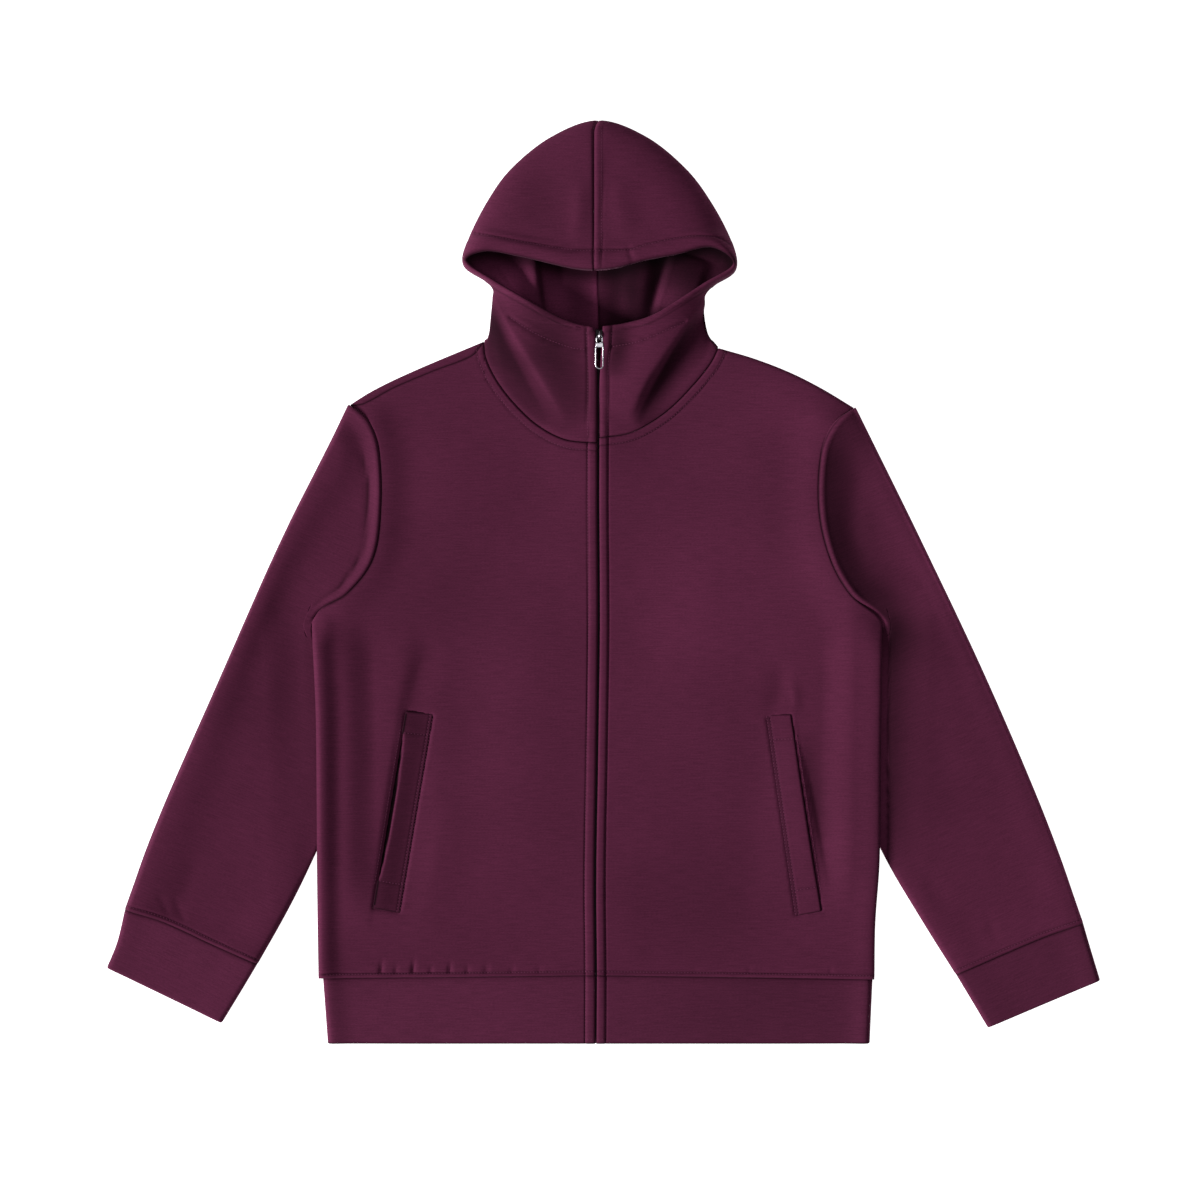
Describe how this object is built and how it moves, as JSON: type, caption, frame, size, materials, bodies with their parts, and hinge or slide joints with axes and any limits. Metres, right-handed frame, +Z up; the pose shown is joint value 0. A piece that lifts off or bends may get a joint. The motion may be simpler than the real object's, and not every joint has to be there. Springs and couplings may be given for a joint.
{
  "type": "zip up hoodie laid flat",
  "caption": "Zip up hooded jacket in smooth double knit, laid flat on its back with the zip closed, the hood open above its funnel collar and a swinging pull on the zip.",
  "frame": {"origin": "centre of the laid garment in plan, on the surface that it lies on", "axes": "+X from the wearer's right cuff to the left one, +Y from the hem to the hood's crown, +Z up from the surface"},
  "size_m": [0.991, 0.9222, 0.0309],
  "materials": {
    "body_knit": "smooth matt air-layer knit, wine purple, with a soft sheen",
    "band_knit": "the same knit folded double",
    "zip_tape": "fine woven tape, dark wine",
    "zip_metal": "polished silver metal"
  },
  "bodies": {
    "garment": {"back": "body_knit", "front_right": "body_knit", "front_left": "body_knit", "sleeve_right": "body_knit", "sleeve_left": "body_knit", "cuff_right": "band_knit", "cuff_left": "band_knit", "hem_band": "band_knit", "hood_right": "body_knit", "hood_left": "body_knit", "pocket_welt_right": "body_knit", "pocket_welt_left": "body_knit", "zip_tape_right": "zip_tape", "zip_tape_left": "zip_tape", "zip_slider": "zip_metal"},
    "pull": {"zip_pull": "zip_metal"}
  },
  "joints": [
    {"name": "pull_swing", "type": "hinge", "parent": "garment", "child": "pull", "pos_m": [-0.00435, 0.24505, 0.0239], "axis": [-1, 0, 0], "range_deg": [0, 150]}
  ]
}
